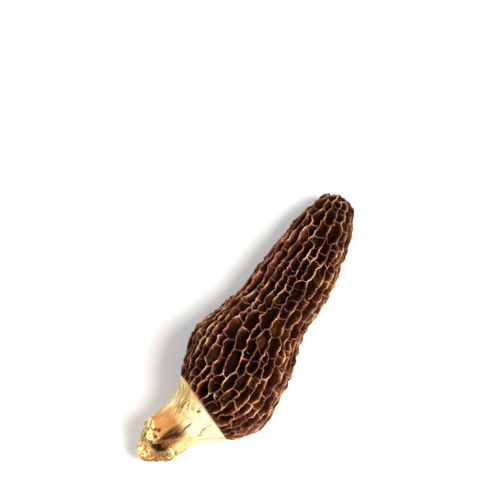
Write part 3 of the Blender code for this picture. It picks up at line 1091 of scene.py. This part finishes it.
def over(tree, under, upper, value, low, high, most=1.0):
    """The under colour up to the low value, and from the high one on most of the upper one."""
    return mixed(tree, ranged(tree, value, low, high, 0.0, most), under, upper)


def set_bump(tree, shader, height, distance):
    bump = add_node(tree, "ShaderNodeBump", {"Height": height, "Distance": distance})
    tree.links.new(bump.outputs["Normal"], shader.inputs["Normal"])


def cap_material(look):
    """Tan crests, some stretches with painted highlights, over dark red-brown pits that go near
    black towards their floors, partly the flesh's own colour and partly painted shade; the golden
    walls and floors and the lit wall tops are painted light; mottled as dried flesh is.
    """
    material, tree, shader = new_material("Dried morel cap", 0.65, 0.06)
    zones = clouds(tree, 0.0080, 1.0)
    patches = clouds(tree, 0.0042, 2.0)
    stretches = clouds(tree, 0.0022, 2.0)
    mottle = clouds(tree, 0.0009, 4.0, 0.6)
    depth, shade = mark(tree, "depth"), mark(tree, "shade")
    # Golden walls in patches: painted light, as where light falls into the pits.
    wall = over(tree, look.wall, look.wall_golden_painted_light, patches, 0.42, 0.62)
    wall = over(tree, wall, look.pit, mottle, 0.35, 0.65, 0.9)
    # The sides just under the crests are lightened in stretches: painted light on the ridges' upper
    # walls.
    near_crest = ranged(tree, depth, 0.05, 0.45, 0.9, 0.0)
    lit = times(tree, near_crest, ranged(tree, stretches, 0.42, 0.62))
    wall = mixed(tree, lit, wall, look.wall_top_painted_light)
    # Golden floors in some pits: painted light, as in pits that light falls into.
    golden = times(tree, ranged(tree, shade, 0.45, 0.90), ranged(tree, patches, 0.40, 0.60))
    floor = mixed(tree, golden, look.pit, look.pit_golden_painted_light)
    floor = over(tree, floor, look.pit, mottle, 0.40, 0.65, 0.85)
    # The pits darken from their walls to near-black floors with depth: painted shade of the
    # recesses over the flesh's own dark red-brown.
    pit = over(tree, wall, floor, depth, 0.30, 0.95)
    crest = over(tree, look.crest, look.crest_golden, zones, 0.42, 0.58)
    # Yellow spots on the crests: painted highlights.
    crest = over(tree, crest, look.crest_yellow_highlight, patches, 0.60, 0.70)
    place = add_node(tree, "ShaderNodeTexCoord", {}).outputs["Object"]
    to_tip = add_node(tree, "ShaderNodeSeparateXYZ", {"Vector": place}).outputs["X"]
    crest = over(tree, crest, look.crest_dusty, to_tip, *TIP_DUSTED, 0.75)
    crest = mixed(tree, ranged(tree, stretches, 0.42, 0.58, 0.9, 0.0), crest, look.crest_dull)
    # Bright stretches of the crests: painted highlights.
    crest = over(tree, crest, look.crest_painted_highlight, stretches, 0.57, 0.67, 0.85)
    edge = times(tree, mark(tree, "crest"), ranged(tree, mottle, 0.25, 0.55, 0.6, 1.0))
    colour = over(tree, pit, crest, edge, 0.10, 0.95)
    colour = mixed(tree, mark(tree, "inside"), colour, look.inside)
    tree.links.new(colour, shader.inputs["Base Color"])
    set_bump(tree, shader, clouds(tree, 0.00030, 4.0, 0.65), 0.00008)
    return material


def stem_material(look):
    """Cream flesh with a painted highlight on the flare's lit side, an ochre stain and a crumbly
    rim; the creases, the wrinkles' bottoms, the gaps between the crumbs, the bore and the dent's
    deep part get painted shade.
    """
    material, tree, shader = new_material("Dried morel stem", 0.75, 0.15)
    patches = clouds(tree, 0.0035, 3.0, 0.6)
    mottle = clouds(tree, 0.0008, 4.0, 0.65)
    grain = add_node(tree, "ShaderNodeAttribute", {}, attribute_name="grain").outputs["Vector"]
    streaks = clouds(tree, 0.0009, 3.0, 0.6, grain)
    ripples = clouds(tree, 0.0017, 3.0, 0.65, grain)
    flesh = over(tree, look.flesh, look.flesh_ochre, patches, 0.46, 0.62, 0.7)
    flesh = over(tree, flesh, look.flesh_olive, ripples, 0.53, 0.60, 0.8)
    # The flare's lit side is painted pale: a painted highlight.
    flesh = over(tree, flesh, look.flesh_painted_highlight, mark(tree, "pale_highlight"), 0.05, 0.6)
    flesh = over(tree, flesh, look.flesh_ochre, streaks, 0.52, 0.74, 0.7)
    # The wrinkles' bottoms get painted shade.
    flesh = over(tree, flesh, look.fold, mark(tree, "fold"), 0.35, 0.95, 0.75)
    specks = clouds(tree, 0.0005, 2.0)
    crumb = over(tree, look.crumb, look.crumb_pale, mottle, 0.42, 0.58)
    crumb = over(tree, crumb, look.stain, patches, 0.50, 0.66, 0.6)
    # Real brown specks on the crumbs, in the colour that also paints the shade in their gaps.
    crumb = over(tree, crumb, look.crevice_shade_and_specks, specks, 0.55, 0.62, 0.95)
    stain = over(tree, look.stain, look.flesh_ochre, streaks, 0.40, 0.70, 0.5)
    stained = times(tree, mark(tree, "stain"), ranged(tree, patches, 0.25, 0.6, 0.7, 1.3))
    colour = over(tree, flesh, stain, stained, 0.02, 0.60, 0.95)
    colour = over(tree, colour, crumb, mark(tree, "crumb"), 0.1, 0.7)
    # The dark spots: partly painted shadow in the dent's deep part, partly dark specks.
    spot = mark(tree, "spot")
    colour = over(tree, colour, look.crevice_shade_and_specks, spot, 0.05, 0.4, 0.6)
    dark = times(tree, spot, ranged(tree, streaks, 0.36, 0.60, 0.6, 1.3))
    colour = over(tree, colour, look.speck_and_crease_shade, dark, 0.25, 0.8, 0.97)
    # The creases get painted shade.
    crease = times(tree, mark(tree, "crease"), ranged(tree, mottle, 0.3, 0.6, 0.5, 1.0))
    colour = over(tree, colour, look.speck_and_crease_shade, crease, 0.1, 0.8, 0.85)
    # The bore's wall is painted near black: painted shade inside the hollow stem.
    bore_painted_shade = times(tree, mark(tree, "inside"), ranged(tree, mark(tree, "crumb"), 0.0, 0.6, 1.0, 0.0))
    colour = mixed(tree, bore_painted_shade, colour, look.bore)
    # Painted shade in the gaps between the crumbs.
    crevice_shade_and_specks = times(tree, mark(tree, "crevice_shade_and_specks"), ranged(tree, patches, 0.35, 0.6, 0.2, 1.0))
    colour = over(tree, colour, look.crevice_shade_and_specks, crevice_shade_and_specks, 0.3, 0.9, 0.7)
    tree.links.new(colour, shader.inputs["Base Color"])
    set_bump(tree, shader, streaks, 0.00030)
    return material


def floor_material(look):
    material, tree, shader = new_material("Pale floor", 0.9, 0.1)
    dimmer = [FLOOR_DIMMER * part for part in look.floor]
    colour = mixed(tree, clouds(tree, FLOOR_CLOUDS), look.floor, dimmer)
    tree.links.new(colour, shader.inputs["Base Color"])
    return material


# The sizes and colours that a user can change, the operators and the panel.


def size_property(name, description, default):
    return FloatProperty(
        name=name, description=description, default=default, min=0, precision=5, unit="LENGTH"
    )


def colour_property(name, what, default):
    description = "Colour of " + what
    return FloatVectorProperty(
        name=name, description=description, default=default, size=3, min=0, max=1, subtype="COLOR"
    )


class MorelCapLook(bpy.types.PropertyGroup):
    waver: size_property("Ridge waver", "How far the crests stray sideways", 0.00045)
    cross_drop: size_property(
        "Cross ridges lower by", "How much lower the ridges across the cap are", 0.00085
    )
    parting_drop: size_property(
        "Partings lower by", "How much lower the thin ridges inside pits are", 0.00110
    )
    crest_bumps: size_property("Crest bumps", "How far the crests rise and fall", 0.00042)
    crest: colour_property("Crests", "the ridges' crests", (0.53, 0.215, 0.165))
    crest_golden: colour_property("Golden crests", "the crests in patches", (0.66, 0.285, 0.110))
    # Painted highlights: the yellow spots and the bright stretches of the crests.
    crest_yellow_highlight: colour_property("Yellow crests", "a few spots on the crests", (0.74, 0.43, 0.15))
    crest_painted_highlight: colour_property(
        "Bright crests", "the crests' bright stretches", (0.86, 0.55, 0.38)
    )
    crest_dusty: colour_property("Dusty crests", "the crests near the tip", (0.36, 0.235, 0.150))
    crest_dull: colour_property("Dull crests", "the crests' dull stretches", (0.16, 0.062, 0.042))
    # The walls and the pits' floors are dark partly in their own colour, partly as painted shade of
    # the recesses.
    wall: colour_property("Walls", "the ridges' sides", (0.040, 0.0072, 0.0030))
    # Painted light: the golden tone of some sides.
    wall_golden_painted_light: colour_property("Golden walls", "some ridges' sides", (0.115, 0.033, 0.0078))
    # Painted light on the sides just under some crests.
    wall_top_painted_light: colour_property("Wall tops", "the sides just under some crests", (0.21, 0.078, 0.033))
    pit: colour_property("Pits", "the pits' floors", (0.012, 0.0018, 0.0005))
    # Painted light: the golden tone of some floors.
    pit_golden_painted_light: colour_property("Golden pits", "some pits' floors", (0.15, 0.052, 0.010))
    inside: colour_property("Inside", "the hollow's wall", (0.62, 0.45, 0.26))


class MorelStemLook(bpy.types.PropertyGroup):
    wrinkle_depth: size_property("Wrinkles", "Depth of the fine lengthwise wrinkles", 0.00085)
    crumb_height: size_property("Crumbs", "Height of the crumbs on the cut rim", 0.00027)
    flesh: colour_property("Flesh", "the stem", (0.95, 0.72, 0.32))
    flesh_ochre: colour_property("Ochre flesh", "the stem in patches", (0.72, 0.43, 0.16))
    flesh_olive: colour_property("Olive flesh", "the stem in ripples", (0.46, 0.27, 0.085))
    # Painted highlight: the pale, lit side of the flare.
    flesh_painted_highlight: colour_property("Pale flesh", "one side of the flare", (0.93, 0.89, 0.60))
    # Painted shade: the bottoms of the wrinkles.
    fold: colour_property("Folds", "the bottom of the wrinkles", (0.42, 0.20, 0.060))
    stain: colour_property("Stain", "the sunken patch", (0.52, 0.200, 0.060))
    crumb: colour_property("Crumbs", "the crumbly cut rim", (0.84, 0.50, 0.155))
    crumb_pale: colour_property("Pale crumbs", "some of the crumbs", (0.97, 0.86, 0.40))
    # Painted shade in the gaps between the crumbs; also the crumbs' real brown specks and part of
    # the dent's painted shadow.
    crevice_shade_and_specks: colour_property("Crevices", "the gaps between the crumbs", (0.22, 0.070, 0.015))
    # Painted shade in the creases; also the dark specks and part of the dent's painted shadow.
    speck_and_crease_shade: colour_property("Creases", "the specks and creases", (0.050, 0.011, 0.002))
    # Painted shade: the near-black wall of the bore.
    bore: colour_property("Bore", "the hollow's wall", (0.075, 0.022, 0.006))


class MorelStageLook(bpy.types.PropertyGroup):
    floor: colour_property("Floor", "the floor", (0.92, 0.92, 0.92))
    surround: colour_property("Surround", "the light from all round", (1.0, 0.99, 0.97))


class BuildMorelCap(bpy.types.Operator):
    """Builds the cap: wavering ridges, lower cross ridges and dished pits, over the solid cap"""

    bl_idname = "morel.build_cap"
    bl_label = "Build cap"

    def execute(self, context):
        cap, laid = finished_cap(context.scene.morel_cap)
        bpy.ops.object.select_all(action="DESELECT")
        cap.select_set(True)
        context.view_layer.objects.active = cap
        bpy.ops.object.shade_smooth()
        cap.data.materials.append(cap_material(context.scene.morel_cap))
        cap["laid"] = laid
        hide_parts("cap")
        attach(cap, "root")
        return {"FINISHED"}


class BuildMorelStem(bpy.types.Operator):
    """Builds the stem: a tube bent and wrinkled into place, with its bore and its crumbly cut"""

    bl_idname = "morel.build_stem"
    bl_label = "Build stem"

    def execute(self, context):
        stem = straight_tube()
        stem.name = stem.data.name = "morel_stem"
        shape_stem(stem, Vector(bpy.data.objects["morel_cap"]["laid"]), context.scene.morel_stem)
        turn_faces_out()
        bpy.ops.object.shade_smooth()
        stem.data.materials.append(stem_material(context.scene.morel_stem))
        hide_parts("stem")
        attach(stem, "root")
        return {"FINISHED"}


class BuildMorelStage(bpy.types.Operator):
    """Adds the pale floor, the soft studio lights and the camera"""

    bl_idname = "morel.build_stage"
    bl_label = "Build stage"

    def execute(self, context):
        look = context.scene.morel_stage
        bpy.ops.object.select_all(action="DESELECT")
        bpy.ops.mesh.primitive_plane_add(size=FLOOR_SIZE, location=(0, 0, 0))
        floor = context.object
        floor.name = "floor"
        floor.data.materials.append(floor_material(look))
        middle = (Vector(CAD_BOX[0]) + Vector(CAD_BOX[1])) / 2
        for light in LIGHTS:
            add_light(middle, *light)
        world = bpy.data.worlds.new("Soft surround")
        world.use_nodes = True
        surround = world.node_tree.nodes["Background"]
        surround.inputs["Color"].default_value = (*look.surround, 1)
        surround.inputs["Strength"].default_value = SURROUND_STRENGTH
        context.scene.world = world
        context.scene.view_settings.view_transform = "Standard"
        add_camera(middle)
        return {"FINISHED"}


def from_round(azimuth, elevation):
    """The direction from the middle of the mushroom to that place round it."""
    flat = math.cos(elevation)
    return Vector((math.sin(azimuth) * flat, -math.cos(azimuth) * flat, math.sin(elevation)))


def add_light(middle, name, watts, size, azimuth, elevation, colour):
    away = from_round(math.radians(azimuth), math.radians(elevation))
    bpy.ops.object.light_add(
        type="AREA",
        location=middle + away * LIGHT_DISTANCE,
        rotation=away.to_track_quat("Z", "Y").to_euler(),
    )
    light = bpy.context.object
    light.name = name
    light.data.energy = watts
    light.data.size = size
    light.data.color = colour


def add_camera(middle):
    """Turned a little off the mushroom's middle, so that it stands where it does in the picture."""
    away = from_round(CAMERA_AZIMUTH, CAMERA_ELEVATION)
    pixels_to_lens = LENS / SENSOR * PICTURE_WIDTH
    aside, under = (math.atan(pixels / pixels_to_lens) for pixels in ASIDE)
    turned = (
        Matrix.Rotation(CAMERA_AZIMUTH, 3, "Z")
        @ Matrix.Rotation(math.pi / 2 - CAMERA_ELEVATION + under, 3, "X")
        @ Matrix.Rotation(aside, 3, "Y")
    )
    bpy.ops.object.camera_add(
        location=middle + away * CAMERA_DISTANCE, rotation=turned.to_euler()
    )
    camera = bpy.context.object
    camera.data.lens = LENS
    camera.data.sensor_width = SENSOR
    camera.data.clip_start = CLIP_START
    bpy.context.scene.camera = camera


class MorelPanel(bpy.types.Panel):
    """Lists the morel's sizes and colours, and the operators that build it"""

    bl_idname = "VIEW3D_PT_morel"
    bl_label = "Dried black morel"
    bl_space_type = "VIEW_3D"
    bl_region_type = "UI"
    bl_category = "Morel"

    def draw(self, context):
        for group, operator in PANEL_ROWS:
            box = self.layout.box()
            look = getattr(context.scene, group)
            for name in look.__annotations__:
                box.prop(look, name)
            box.operator(operator)


PANEL_ROWS = (
    ("morel_cap", BuildMorelCap.bl_idname),
    ("morel_stem", BuildMorelStem.bl_idname),
    ("morel_stage", BuildMorelStage.bl_idname),
)
LOOKS = {"morel_cap": MorelCapLook, "morel_stem": MorelStemLook, "morel_stage": MorelStageLook}
CLASSES = (*LOOKS.values(), BuildMorelCap, BuildMorelStem, BuildMorelStage, MorelPanel)


def register():
    for made in CLASSES:
        bpy.utils.register_class(made)
    for name, look in LOOKS.items():
        setattr(bpy.types.Scene, name, PointerProperty(type=look))


def unregister():
    for name in LOOKS:
        delattr(bpy.types.Scene, name)
    for made in reversed(CLASSES):
        bpy.utils.unregister_class(made)


def main():
    register()
    bpy.ops.morel.build_cap()
    bpy.ops.morel.build_stem()
    bpy.ops.morel.build_stage()
    bpy.context.view_layer.update()


if __name__ == "__main__":
    main()
